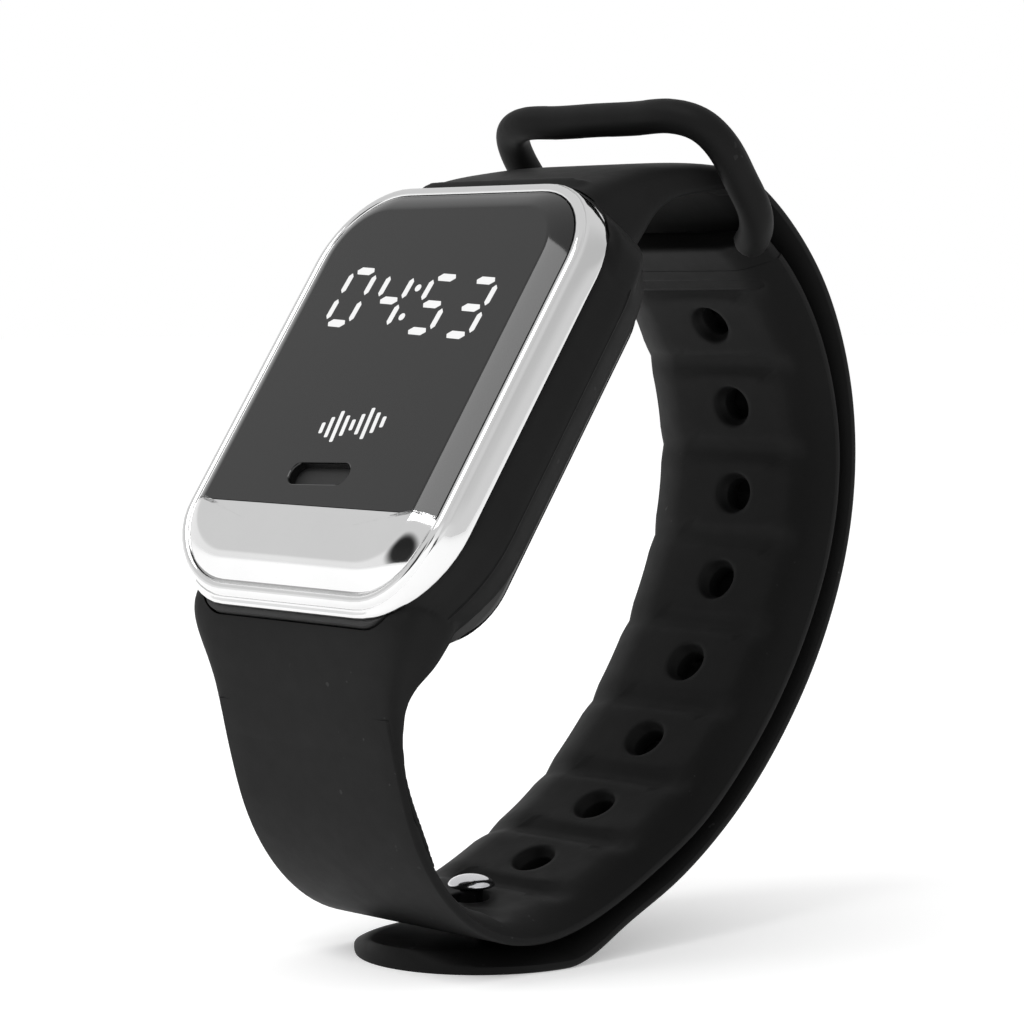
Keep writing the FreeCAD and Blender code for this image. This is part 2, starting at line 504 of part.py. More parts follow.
# ---- set down on the floor, centred ----
whole = Part.makeCompound(list(parts.values())).optimalBoundingBox(False, False)
shift = Vector(-(whole.XMin + whole.XMax) / 2, -(whole.YMin + whole.YMax) / 2, -whole.ZMin)
os.makedirs("parts", exist_ok=True)
for name, shape in parts.items():
    moved = shape.copy()
    moved.translate(shift)
    moved.exportStep("parts/%s.step" % name)
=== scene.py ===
import math
import bmesh
import bpy
import numpy as np
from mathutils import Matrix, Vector


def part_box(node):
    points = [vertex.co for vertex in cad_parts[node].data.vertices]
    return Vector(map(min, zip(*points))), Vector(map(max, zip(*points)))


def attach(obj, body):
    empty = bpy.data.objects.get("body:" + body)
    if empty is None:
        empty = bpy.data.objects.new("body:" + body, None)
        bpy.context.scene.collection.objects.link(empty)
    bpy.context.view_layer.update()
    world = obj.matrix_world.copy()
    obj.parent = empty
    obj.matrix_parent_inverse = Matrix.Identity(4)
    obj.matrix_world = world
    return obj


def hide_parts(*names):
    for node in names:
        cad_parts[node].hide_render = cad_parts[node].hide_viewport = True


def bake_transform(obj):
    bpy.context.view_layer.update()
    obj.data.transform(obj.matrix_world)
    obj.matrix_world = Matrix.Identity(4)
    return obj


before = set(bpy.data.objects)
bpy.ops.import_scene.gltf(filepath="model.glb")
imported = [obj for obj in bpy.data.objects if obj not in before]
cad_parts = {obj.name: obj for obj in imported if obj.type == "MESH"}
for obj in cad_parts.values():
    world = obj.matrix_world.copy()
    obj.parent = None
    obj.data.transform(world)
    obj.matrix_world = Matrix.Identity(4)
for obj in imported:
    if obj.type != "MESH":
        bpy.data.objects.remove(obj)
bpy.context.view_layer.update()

# A silicone wristband digital watch standing on the flat end of its tail. Shapes are worked out in
# millimetres. Side profiles are (y, z) pairs whose origin is the lower end of the lens; the watch head
# is worked out face up, x across, y along the face and z out of it, and then tilted.
MM = 0.001
QUARTER, WHOLE = math.pi / 2, 2 * math.pi
TIP_Y, FLAT_Z = 7.4, -33.7          # the tail's tip, and the level of its flat end
TILT = math.radians(55.65)          # of the face from level
low_corner = np.array(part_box("tail_end")[0]) / MM
SHIFT = np.array([0.0, low_corner[1] - TIP_Y, low_corner[2] - FLAT_Z])

# Straps: half width, thickness in the middle and at the edge, edge rounding, width of the shoulder.
BAND_HW = 9.5
STRAP_T, STRAP_EDGE_T = 1.9, 0.62
TAIL_T, TAIL_EDGE_T = 1.6, 0.6
PLAIN_T = 1.3                       # the holed strap where it leaves the watch
EDGE_ROUND, EDGE_DRAFT = 0.35, 0.04
CROWN_RUN, CROWN_POWER = 3.9, 1.6
PITCH, HOLES = 7.5, 9
BORE_R, RECESS_R, RECESS_D = 1.3, 1.75, 0.7
GROOVE_D, GROOVE_FLAT, GROOVE_END, GROOVE_BLEND = 0.42, 0.5, 1.2, 0.06
STUD_Y = 15.8
HOLED_LINE = [(-0.5, -13.5), (0.05, -16.0), (0.9, -19.3), (1.8, -22.1), (3.3, -25.15), (5.9, -28.35),
              (9.2, -30.6), (14.6, -31.6), (20.2, -30.3), (26.0, -27.6), (30.8, -24.7), (34.5, -21.4),
              (37.8, -17.7), (40.55, -13.8), (42.95, -9.4), (44.6, -5.2), (45.5, -1.0), (45.65, 3.3),
              (45.0, 7.3), (43.7, 11.1), (41.6, 14.8), (39.2, 17.6), (36.8, 19.6)]
TAIL_LINE = [(34.3, 24.1), (37.6, 22.3), (40.95, 19.4), (43.8, 15.8), (45.85, 11.6), (47.0, 7.6),
             (47.5, 3.4), (47.3, -1.2), (46.4, -5.6), (44.75, -10.1), (42.25, -14.8), (39.3, -18.95),
             (35.8, -22.85), (31.8, -26.25), (27.15, -29.2), (22.3, -31.55), (16.8, FLAT_Z)]
LOOP_SIDE = [(36.3, 18.6), (35.2, 19.6), (34.0, 21.1), (32.6, 23.1), (30.9, 25.3), (29.3, 27.1),
             (28.5, 27.8)]
LOOP_X, LOOP_R = 11.1, 1.3
LOWEST = 7                          # which point of HOLED_LINE is the lowest

# Watch head: half width, lower and upper end, corner radius, and how far the face lies inside.
CAP_HW, CAP_Y0, CAP_Y1, CORNER_R = 14.5, -6.9, 28.5, 7.2
FACE_IN = 1.31
LENS_SLOT = (-0.1, 2.65, 6.3, 1.75, 2.0)        # x, y, length, width, turn in degrees


# ---- lines, outlines and grids ----
class Line:
    """A smooth side profile: the natural or end-steered cubic spline through its points, with knots at
    the distances between them, sampled finely and then read by distance along it."""
    SAMPLES, STRAIGHT_SAMPLES = 3000, 400

    def __init__(self, points, start=None, end=None, straight_to=None):
        p = np.array(points, float)
        t = np.concatenate([[0], np.cumsum(np.linalg.norm(np.diff(p, axis=0), axis=1))])
        h, n = np.diff(t), len(p)
        a, b = np.zeros((n, n)), np.zeros((n, 2))
        rows = np.arange(1, n - 1)
        a[rows, rows - 1], a[rows, rows], a[rows, rows + 1] = h[:-1], 2 * (h[:-1] + h[1:]), h[1:]
        slope = np.diff(p, axis=0) / h[:, None]
        b[rows] = 6 * (slope[1:] - slope[:-1])
        a[0, 0] = a[-1, -1] = 1
        if start is not None:
            a[0, :2], b[0] = (2 * h[0], h[0]), 6 * (slope[0] - start)
        if end is not None:
            a[-1, -2:], b[-1] = (h[-1], 2 * h[-1]), 6 * (np.array(end) - slope[-1])
        m = np.linalg.solve(a, b)
        u = np.linspace(0, t[-1], self.SAMPLES)
        i = np.clip(np.searchsorted(t, u) - 1, 0, n - 2)
        f, g, k = (u - t[i])[:, None], (t[i + 1] - u)[:, None], h[i][:, None]
        q = ((m[i] * g ** 3 + m[i + 1] * f ** 3) / (6 * k) + (p[i] / k - m[i] * k / 6) * g
             + (p[i + 1] / k - m[i + 1] * k / 6) * f)
        if straight_to is not None:
            share = np.linspace(0, 1, self.STRAIGHT_SAMPLES)[1:, None]
            q = np.concatenate([q, q[-1] + share * (np.array(straight_to) - q[-1])])
        self.points = q
        self.s = np.concatenate([[0], np.cumsum(np.linalg.norm(np.diff(q, axis=0), axis=1))])
        self.length = self.s[-1]
        self.way = np.gradient(q, self.s, axis=0)

    def at(self, s):
        """Points and unit directions at distances s along the line."""
        s = np.asarray(s, float)
        q = np.stack([np.interp(s, self.s, self.points[:, k]) for k in (0, 1)], -1)
        d = np.stack([np.interp(s, self.s, self.way[:, k]) for k in (0, 1)], -1)
        return q, d / np.linalg.norm(d, axis=-1, keepdims=True)

    def nearest(self, y, z):
        """Distance along the line of its sample nearest to (y, z)."""
        return self.s[np.argmin(np.hypot(self.points[:, 0] - y, self.points[:, 1] - z))]


def smooth(x, a, b):
    """0 before a, 1 after b, and an S-curve between."""
    t = np.clip((np.asarray(x, float) - a) / (b - a), 0, 1)
    return t * t * (3 - 2 * t)


def on_strap(line, turn, x, s, d):
    """x across the strap, s along its line, d in from its outer face: the line's point plus d times the
    line's direction turned a quarter, towards the wrist."""
    q, way = line.at(s)
    inward = turn * np.stack([-way[..., 1], way[..., 0]], -1)
    p = q + inward * np.asarray(d)[..., None]
    return np.stack([np.broadcast_to(x, p.shape[:-1]), p[..., 0], p[..., 1]], -1)


def outline(hw, y0, y1, low_r, high_r, corner=12, side=10):
    """Rounded rectangle as one row of points: four quarter circles joined by evenly divided sides."""
    turn = np.linspace(0, QUARTER, corner + 1)
    arcs = []
    for k, (sx, y, r) in enumerate(((1, y1, high_r), (-1, y1, high_r), (-1, y0, low_r), (1, y0, low_r))):
        centre = np.array([sx * (hw - r), y - r if y == y1 else y + r])
        angle = turn + k * QUARTER
        arcs.append(centre + r * np.stack([np.cos(angle), np.sin(angle)], -1))
    share = np.linspace(0, 1, side + 1)[1:-1, None]
    row = [q for k in range(4) for q in (arcs[k], arcs[k][-1] * (1 - share) + arcs[(k + 1) % 4][0] * share)]
    return np.concatenate(row)


def raised(row, z):
    """A flat row of points lifted to height z, a number or one for each point."""
    return np.concatenate([row, np.broadcast_to(np.asarray(z, float), row.shape[0])[:, None]], 1)


def turned(row, angle, centre):
    """A flat row turned by an angle and moved to a centre."""
    c, s = math.cos(angle), math.sin(angle)
    return row @ np.array([[c, s], [-s, c]]) + centre


def tilted(p):
    """Face up to standing: a turn about x."""
    c, s = math.cos(TILT), math.sin(TILT)
    return np.stack([p[..., 0], p[..., 1] * c - p[..., 2] * s, p[..., 1] * s + p[..., 2] * c], -1)


def circle(count):
    """Angles of evenly spaced stations once round."""
    return np.linspace(0, WHOLE, count + 1)[:-1]


def faces_of(rows, columns, wrap_rows, wrap_columns):
    """Quads between neighbouring stations of a grid, joined round where it wraps."""
    i, j = np.meshgrid(np.arange(rows - (not wrap_rows)), np.arange(columns - (not wrap_columns)),
                       indexing="ij")
    a, b = i, (i + 1) % rows
    c, d = j, (j + 1) % columns
    quads = np.stack([a * columns + c, a * columns + d, b * columns + d, b * columns + c], -1)
    return quads.reshape(-1, 4).tolist()


def tube(grid, ring=False):
    """Closed shell from a grid of rows that each go round: its quads, and a fan of triangles to the
    middle of the first and last row. With ring set, the last row joins the first instead."""
    rows, columns = grid.shape[:2]
    points, faces = grid.reshape(-1, 3), faces_of(rows, columns, ring, True)
    j = np.arange(columns)
    for row in () if ring else (0, rows - 1):
        middle = len(points)
        points = np.concatenate([points, grid[row].mean(0)[None]])
        faces += np.stack([row * columns + j, row * columns + (j + 1) % columns,
                           np.full(columns, middle)], -1).tolist()
    return points, faces


def sheet(grid):
    """Open surface from a grid of points."""
    return grid.reshape(-1, 3), faces_of(*grid.shape[:2], False, False)


def piece(name, shells, material, body=None, replaces=(), sharp=42, merge=2e-6):
    """One mesh object from shells of (points in mm, faces), merged, faced outwards and smooth-shaded,
    with its place in its mesh."""
    points, faces, first = [], [], 0
    for p, f in shells:
        points.append(p)
        faces += [[k + first for k in face] for face in f]
        first += len(p)
    mesh = bpy.data.meshes.new(name)
    mesh.from_pydata(((np.concatenate(points) + SHIFT) * MM).tolist(), [], faces)
    work = bmesh.new()
    work.from_mesh(mesh)
    bmesh.ops.remove_doubles(work, verts=work.verts, dist=merge)
    bmesh.ops.dissolve_degenerate(work, edges=work.edges, dist=1e-8)
    bmesh.ops.recalc_face_normals(work, faces=work.faces)
    work.to_mesh(mesh)
    work.free()
    mesh.shade_smooth()
    mesh.set_sharp_from_angle(angle=math.radians(sharp))
    obj = bpy.data.objects.new(name, mesh)
    bpy.context.scene.collection.objects.link(obj)
    if material:
        mesh.materials.append(material)
    if body:
        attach(obj, body)
    if replaces:
        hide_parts(*replaces)
    return obj


def baked(obj, sharp):
    """Applies an object's modifiers to its mesh."""
    whole = obj.evaluated_get(bpy.context.evaluated_depsgraph_get())
    mesh = bpy.data.meshes.new_from_object(whole)
    obj.modifiers.clear()
    obj.data = mesh
    mesh.shade_smooth()
    mesh.set_sharp_from_angle(angle=math.radians(sharp))
    return obj


def melted(name, shells, voxel, rounds, cutters=()):
    """Shells moulded as one: joined through a fine voxel grid, smoothed so that their meetings become
    fillets, then cut by the cutters."""
    obj = piece(name, shells, None)
    join = obj.modifiers.new("join", "REMESH")
    join.mode, join.voxel_size = "VOXEL", voxel * MM
    ease = obj.modifiers.new("ease", "SMOOTH")
    ease.factor, ease.iterations = 0.5, rounds
    baked(obj, 60)
    tools = []
    for k, cutter in enumerate(cutters):
        tool = piece("%s_cutter_%d" % (name, k), [cutter], None)
        cut = obj.modifiers.new("cut", "BOOLEAN")
        cut.operation, cut.solver, cut.object = "DIFFERENCE", "MANIFOLD", tool
        tools.append(tool)
    if tools:
        baked(obj, 38)
    for tool in tools:
        bpy.data.objects.remove(tool)
    return obj


def finished(obj, material, body=None, replaces=()):
    """Gives a moulded object its finish and its body."""
    obj.data.materials.clear()
    obj.data.materials.append(material)
    if body:
        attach(obj, body)
    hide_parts(*replaces)
    return obj


# ---- finishes ----
class Value:
    """A number that varies over a surface. Sums and products of values add their Math nodes."""

    def __init__(self, finish, socket):
        self.finish, self.socket = finish, socket

    def maths(self, operation, a, b):
        return self.finish.node("ShaderNodeMath", {"operation": operation}, {0: a, 1: b})

    def __add__(self, other):
        return self.maths("ADD", self, other)

    def __mul__(self, other):
        return self.maths("MULTIPLY", self, other)

    __radd__, __rmul__ = __add__, __mul__


class Finish:
    """A material: its constants go straight onto the shader, and what varies is linked to it."""

    def __init__(self, name, **constants):
        self.material = bpy.data.materials.new(name)
        self.material.use_nodes = True
        self.tree = self.material.node_tree
        self.shader = self.tree.nodes["Principled BSDF"]
        self.place = Value(self, self.tree.nodes.new("ShaderNodeTexCoord").outputs["Object"])
        for socket, value in constants.items():
            self.shader.inputs[socket.replace("_", " ")].default_value = value

    def node(self, kind, settings, sockets, output=0):
        made = self.tree.nodes.new(kind)
        for key, value in settings.items():
            setattr(made, key, value)
        for key, value in sockets.items():
            if isinstance(value, Value):
                self.tree.links.new(value.socket, made.inputs[key])
            else:
                made.inputs[key].default_value = value
        return Value(self, made.outputs[output])

    def noise(self, scale, detail=2.0, rough=0.5, stretch=None):
        place = self.place
        if stretch:
            place = self.node("ShaderNodeMapping", {}, {"Vector": place, "Scale": stretch})
        return self.node("ShaderNodeTexNoise", {}, {"Vector": place, "Scale": scale, "Detail": detail,
                                                    "Roughness": rough})

    def step(self, value, low, high):
        return self.node("ShaderNodeMapRange", {"interpolation_type": "SMOOTHSTEP"},
                         {"Value": value, "From Min": low, "From Max": high})

    def mix(self, factor, a, b):
        mixed = self.tree.nodes.new("ShaderNodeMix")
        mixed.data_type = "RGBA"
        for socket, value in ((0, factor), (6, a), (7, b)):
            if isinstance(value, Value):
                self.tree.links.new(value.socket, mixed.inputs[socket])
            else:
                mixed.inputs[socket].default_value = value
        return Value(self, mixed.outputs[2])

    def bump(self, height, distance, strength):
        return self.node("ShaderNodeBump", {}, {"Height": height, "Distance": distance,
                                                "Strength": strength})

    def wire(self, **links):
        for socket, value in links.items():
            self.tree.links.new(value.socket, self.shader.inputs[socket.replace("_", " ")])
        return self.material


def grey(level, tint=(1, 1, 1)):
    return (level * tint[0], level * tint[1], level * tint[2], 1.0)


def silicone():
    """Matt moulded rubber: slow cloudy tone, fine moulded grain and a few specks of lint."""
    f = Finish("silicone", Specular_IOR_Level=0.13, IOR=1.42)
    cloud = f.noise(90, 3)
    lint = f.step(f.noise(1500, 1), 0.745, 0.77) * f.step(f.noise(60, 2), 0.5, 0.66)
    tone = f.mix(cloud, grey(0.0055), grey(0.0095))
    return f.wire(Base_Color=f.mix(lint * 0.35, tone, grey(0.06)),
                  Roughness=0.5 + f.noise(700, 2) * 0.12,
                  Normal=f.bump(f.noise(2600, 3, 0.6), 0.00001, 0.6))


def chrome():
    """Bright plating with faint handling haze."""
    f = Finish("chrome", Metallic=1.0)
    haze = f.noise(160, 4, 0.6)
    return f.wire(Base_Color=f.mix(haze, grey(0.79), grey(0.73)), Roughness=0.035 + haze * 0.05,
                  Normal=f.bump(f.noise(55, 1), 0.00001, 0.25))


def smoked_lens():
    """Smoked polished acrylic with faint wipe marks in its gloss."""
    f = Finish("smoked_lens", IOR=1.5)
    wipes = f.noise(30, 3, 0.5, stretch=(1.0, 0.25, 0.25))
    return f.wire(Base_Color=f.mix(wipes, grey(0.004), grey(0.0065)), Roughness=0.05 + wipes * 0.06)


def moulded(name, level, rough, tint=(1, 1, 1), grain=900, gloss=0.5):
    """Moulded plastic: a little tone and gloss variation and a fine grain."""
    f = Finish(name, Specular_IOR_Level=gloss)
    grit = f.noise(grain, 3)
    return f.wire(Base_Color=f.mix(grit, grey(level, tint), grey(level * 1.35, tint)),
                  Roughness=rough + grit * 0.12, Normal=f.bump(grit, 0.00001, 0.4))


def metal(name, tint, rough, brushed=(1, 1, 1)):
    """Metal with short drawn marks."""
    f = Finish(name, Metallic=1.0)
    marks = f.noise(1400, 3, 0.6, stretch=brushed)
    return f.wire(Base_Color=f.mix(marks, grey(1.0, tint), grey(0.82, tint)), Roughness=rough + marks * 0.12,
                  Normal=f.bump(marks, 0.000004, 0.3))


def lit(name, level):
    """Milky diffuser lit from behind, a touch brighter in places."""
    f = Finish(name, Emission_Strength=1.0, Roughness=0.35)
    glow = f.noise(500, 1)
    return f.wire(Emission_Color=f.mix(glow, grey(level), grey(level * 1.08)),
                  Base_Color=f.mix(glow, grey(0.05), grey(0.08)))


def woven(name):
    """Blackened wire mesh: two crossed waves as dark gaps between wires."""
    f = Finish(name, Metallic=1.0)
    wires = [f.node("ShaderNodeTexWave", {"bands_direction": way}, {"Vector": f.place, "Scale": 1200.0}, 1)
             for way in ("X", "Y")]
    weave = wires[0] * wires[1]
    return f.wire(Base_Color=f.mix(weave, grey(0.02), grey(0.16)), Roughness=0.3 + weave * 0.2,
                  Normal=f.bump(weave, 0.00002, 0.6))


SILICONE, CHROME, LENS = silicone(), chrome(), smoked_lens()
STEEL = metal("polished_steel", (0.75, 0.75, 0.77), 0.06)
GOLD = metal("gold_plate", (0.9, 0.68, 0.32), 0.12)
CASE_BLACK = moulded("satin_case", 0.008, 0.38, gloss=0.4)
COVER_BLACK = moulded("polished_cover", 0.006, 0.08, grain=300)
LIT = lit("lit_bars", 0.78)
INSIDE = {
    "case": CASE_BLACK,
    "lens_seal": moulded("seal_rubber", 0.03, 0.7),
    "back_seal": moulded("seal_back", 0.03, 0.7),
    "circuit_board": moulded("solder_mask_green", 0.5, 0.35, (0.04, 0.24, 0.1), 400),
    "display_board": moulded("solder_mask_black", 0.015, 0.4),
    "light_shield": moulded("shield", 0.02, 0.6),
    "dark_segments": moulded("unlit_bars", 0.04, 0.25),
    "led_chips": moulded("led_resin", 0.75, 0.15, (1, 0.96, 0.75)),
    "controller_chip": moulded("chip_resin", 0.02, 0.5),
    "timing_crystal": metal("crystal_can", (0.7, 0.7, 0.72), 0.2),
    "board_screws": metal("screw_steel", (0.6, 0.6, 0.62), 0.25),
    "battery": metal("battery_foil", (0.72, 0.73, 0.75), 0.3, (1, 0.1, 0.1)),
    "sounder": metal("sounder_brass", (0.85, 0.66, 0.34), 0.2),
    "slot_mesh": woven("mesh_weave"),
}
for node, material in INSIDE.items():
    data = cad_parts[node].data
    data.materials.clear()
    data.materials.append(material)

# ---- strap cross-sections ----
HOLE_HX = 5.6        # the holes lie in a strip this wide each side of the middle
CELL = 10            # divisions of each side of a hole's cell


def section_side(mid_t, edge_t, start_x):
    """Half a strap's section from start_x on the outer face round the edge to start_x on the wrist side:
    flat, quarter circle, upright edge, then a long shoulder that rises by a power curve to full thickness.
    Returns x, depth, and how far each point is on the wrist side."""
    r, run = EDGE_ROUND, CROWN_RUN
    a = np.linspace(0, QUARTER, 6)[1:]
    u = np.linspace(1, 0, 11)[1:]
    flat_in = BAND_HW - run
    x = np.concatenate([[start_x, (start_x + BAND_HW - r) / 2, BAND_HW - r], BAND_HW - r + r * np.sin(a),
                        [BAND_HW, BAND_HW - EDGE_DRAFT], flat_in + run * u - EDGE_DRAFT * u])
    d = np.concatenate([[0, 0, 0], r - r * np.cos(a), [0.8 * edge_t, edge_t],
                        edge_t + (mid_t - edge_t) * (1 - u ** CROWN_POWER)])
    if start_x < flat_in:
        x, d = np.append(x, start_x), np.append(d, mid_t)
    side = smooth(d, 0.3 * edge_t, edge_t)
    return x, d, side


def grooved(x, depth, side, s, borders, mid_t):
    """Section depth after soft cross grooves. Each is a flat-floored dip of the middle. On the right it runs
    out where the shoulder has fallen as far, the two joined by a hyperbola; on the left it is let through
    the edge."""
    away = np.min(np.abs(np.asarray(s)[..., None] - np.asarray(borders)), -1)
    share = 1 - smooth(away, GROOVE_FLAT, GROOVE_END)
    spare = GROOVE_D * share - (mid_t - depth) * np.where(np.asarray(x) < 0, 0.1, 1.0)
    return depth - side * share * (spare + np.hypot(spare, GROOVE_BLEND) - GROOVE_BLEND) / 2


holed = Line(HOLED_LINE)
tail = Line(TAIL_LINE, start=(0.94, -0.34), end=(-1, 0), straight_to=(TIP_Y, FLAT_Z))
s_stud = holed.nearest(STUD_Y, HOLED_LINE[LOWEST][1])
hole_at = s_stud + PITCH * np.arange(HOLES)
borders = s_stud + PITCH * (np.arange(HOLES + 1) - 0.5)
s_ribs = holed.nearest(1.6, -21.4)


def thickness(s):
    """Thinner where the strap leaves the watch, full once the ribbed stretch begins."""
    return PLAIN_T + (STRAP_T - PLAIN_T) * smooth(s, s_ribs, s_ribs + 0.9)


def holed_point(x, s, d_share, side):
    """A point of the holed strap: its section depth scaled to the local thickness, less the grooves."""
    scale = 1 + (thickness(s) / STRAP_T - 1) * side
    return on_strap(holed, 1, x, s, grooved(x, d_share * scale, side, s, borders, thickness(s)))


def strap_rails(s, hx):
    """The strips outside the holes on both sides, from the outer face round the edge to the wrist side."""
    x, d, side = section_side(STRAP_T, STRAP_EDGE_T, hx)
    s_, x_ = np.meshgrid(s, x, indexing="ij")
    return [sheet(holed_point(sign * x_, s_, d[None], side[None])) for sign in (1, -1)]


def plain_middle(s, hx):
    """The strip between the rails where there are no holes: its outer face and its wrist side."""
    x = np.linspace(-hx, hx, CELL + 1)
    s_, x_ = np.meshgrid(s, x, indexing="ij")
    return [sheet(holed_point(x_, s_, 0.0 * x_, 0.0)), sheet(holed_point(x_, s_, STRAP_T + 0.0 * x_, 1.0))]


def hole_cell(centre, hx):
    """One hole in its cell, rows from the cell's edge on the outer face through the bore and out over the
    recess to the cell's edge on the wrist side. Rows between a circle and the edge blend the two."""
    k = np.arange(CELL) / CELL
    ex = np.concatenate([0 * k + 1, 1 - 2 * k, 0 * k - 1, 2 * k - 1])
    es = np.concatenate([2 * k - 1, 0 * k + 1, 1 - 2 * k, 0 * k - 1])
    angle = np.arctan2(es, ex)
    rim = np.stack([ex * hx, es * PITCH / 2], -1)

    out_share = np.linspace(1, 0, 7) ** 1.4
    floor = STRAP_T - RECESS_D
    wall = ((BORE_R + 0.04, 0.04), (BORE_R, 0.15), (BORE_R, 0.5 * floor), (BORE_R, floor - 0.12),
            (BORE_R + 0.03, floor - 0.02), (BORE_R + 0.1, floor + 0.05), (BORE_R + 0.2, floor + 0.2),
            (BORE_R + 0.29, floor + 0.36), (RECESS_R - 0.08, STRAP_T - 0.17),
            (RECESS_R + 0.01, STRAP_T - 0.06))
    levels = [(BORE_R + 0.15, share, 0.0, 0.0) for share in out_share]
    levels += [(radius, 0.0, d, 0.0) for radius, d in wall]
    levels += [(RECESS_R + 0.14, share, STRAP_T, 1.0) for share in out_share[::-1]]
    radius, share, depth, on_wrist_side = np.array(levels).T[..., None]
    round_row = radius[..., None] * np.stack([np.cos(angle), np.sin(angle)], -1)
    flat = round_row * (1 - share[..., None]) + rim * share[..., None]
    grid = holed_point(flat[..., 0], centre + flat[..., 1], depth, on_wrist_side)
    rows, columns = grid.shape[:2]
    return grid.reshape(-1, 3), faces_of(rows, columns, False, True)


def strap_end(s, hx):
    """Closes an end of the holed strap: rungs between its outer face and its wrist side."""
    x, d, side = section_side(STRAP_T, STRAP_EDGE_T, hx)
    mid = np.linspace(-hx, hx, CELL + 1)[1:-1]
    right = holed_point(x, s, d, side)
    left = holed_point(-x, s, d, side)
    outer, inner = holed_point(mid, s, 0 * mid, 0.0), holed_point(mid, s, 0 * mid + STRAP_T, 1.0)
    loop = np.concatenate([right, inner[::-1], left[::-1], outer])
    n = len(loop)
    points = np.concatenate([loop, loop.mean(0)[None]])
    return points, [[k, (k + 1) % n, n] for k in range(n)]


s_front = holed.nearest(-0.3, -14.3)
s_back = borders[-1] + 1.2
plain_s = np.concatenate([np.linspace(s_front, s_ribs - 0.2, 8), np.linspace(s_ribs, s_ribs + 1.2, 8),
                          np.linspace(s_ribs + 2, borders[0] - 1.6, 16),
                          np.linspace(borders[0] - 1.3, borders[0], 7)])
cell_s = np.linspace(borders[0], borders[-1], HOLES * CELL + 1)
end_s = np.linspace(borders[-1], s_back + 1.0, 12)
all_s = np.concatenate([plain_s, cell_s[1:], end_s[1:]])
shells = strap_rails(all_s, HOLE_HX) + plain_middle(plain_s, HOLE_HX) + plain_middle(end_s, HOLE_HX)
shells += [hole_cell(centre, HOLE_HX) for centre in hole_at]
shells += [strap_end(s, HOLE_HX) for s in (all_s[0], all_s[-1])]
piece("holed_strap_skin", shells, SILICONE, "band", ["holed_strap"])


def swept(line, turn, s, mid_t, edge_t, borders_s=(), width=None, shrink=0.0):
    """Plain strap as a closed tube: the section carried along the line, its width scaled by width, and
    drawn in all round by shrink."""
    x, d, side = section_side(mid_t, edge_t, 2.0)
    x = np.concatenate([x, -x[::-1]])
    d, side = np.concatenate([d, d[::-1]]), np.concatenate([side, side[::-1]])
    s_, x_ = np.meshgrid(s, x, indexing="ij")
    wide = np.ones(len(s)) if width is None else width
    depth = d[None] + 0.0 * s_
    if len(borders_s):
        depth = grooved(x_, depth, side, s_, borders_s, mid_t)
    depth = depth + shrink * np.where(depth < mid_t / 2, 1, -1)
    return tube(on_strap(line, turn, x_ * wide[:, None] * (1 - shrink / BAND_HW), s_, depth))


# ---- strap's end and the loop that holds the other strap ----
loop_half = [(BAND_HW - 1.0, *LOOP_SIDE[0]), (LOOP_X - 0.9, *LOOP_SIDE[1])]
loop_half += [(LOOP_X, *p) for p in LOOP_SIDE[2:5]]
loop_half += [(LOOP_X - 0.95, *LOOP_SIDE[5]), (LOOP_X - 3.2, *LOOP_SIDE[6]), (LOOP_X / 2.2, *LOOP_SIDE[6])]


def loop_tube():
    """Round rod along a smooth line through the loop's points: at each station a circle square to it."""
    pts = np.array(loop_half + [(0, *LOOP_SIDE[6])] + [(-x, y, z) for x, y, z in loop_half[::-1]], float)
    t = np.concatenate([[0], np.cumsum(np.linalg.norm(np.diff(pts, axis=0), axis=1))])
    axes = [Line(np.stack([t, pts[:, k]], -1)) for k in range(3)]
    u = np.linspace(0, t[-1], 140)
    p = np.stack([np.interp(u, q.points[:, 0], q.points[:, 1]) for q in axes], -1)
    way = np.gradient(p, axis=0)
    way /= np.linalg.norm(way, axis=1, keepdims=True)
    side = np.cross(way, [0.0, 0.6, 0.8])
    side /= np.linalg.norm(side, axis=1, keepdims=True)
    up = np.cross(side, way)
    turn = circle(24)[None, :, None]
    return tube(p[:, None] + LOOP_R * (np.cos(turn) * side[:, None] + np.sin(turn) * up[:, None]))


end_body = swept(holed, 1, np.linspace(s_back - 1.5, holed.length, 30), STRAP_T, STRAP_EDGE_T, shrink=0.02)
loop = melted("strap_loop", [end_body, loop_tube()], 0.2, 7)
finished(loop, SILICONE, "band")

# ---- silicone round the watch head, neck and the root of the holed strap ----


def ruled(top, under, half, power):
    """Closed shell whose side profile lies between a top and an under line with matching stations, and
    whose section at each station is a squared-off ellipse of that half width."""
    k = np.arange(len(top), dtype=float)
    u = np.linspace(0, k[-1], 60)

    def read(values):
        curve = Line(np.stack([k, np.asarray(values, float)], -1))
        return np.interp(u, curve.points[:, 0], curve.points[:, 1])

    top, under = np.array(top, float), np.array(under, float)
    t = np.stack([read(top[:, 0]), read(top[:, 1])], -1)
    b = np.stack([read(under[:, 0]), read(under[:, 1])], -1)
    w = read(half)
    turn = circle(96)
    c, s = np.cos(turn), np.sin(turn)
    across = np.sign(c) * np.abs(c) ** (2 / power)
    lift = np.sign(s) * np.abs(s) ** (2 / power)
    mid, reach = (t + b) / 2, (t - b) / 2
    yz = mid[:, None] + reach[:, None] * lift[None, :, None]
    return tube(np.concatenate([(w[:, None] * across[None])[..., None], yz], -1))


def stack(levels):
    """Closed shell through rounded rectangles, face up, each (half width, y0, y1, corner radius, z) and, if
    it differs, the corner radius at the high end."""
    return tube(tilted(np.stack([raised(outline(hw, y0, y1, r, high[0] if high else r), z)
                                 for hw, y0, y1, r, z, *high in levels])))


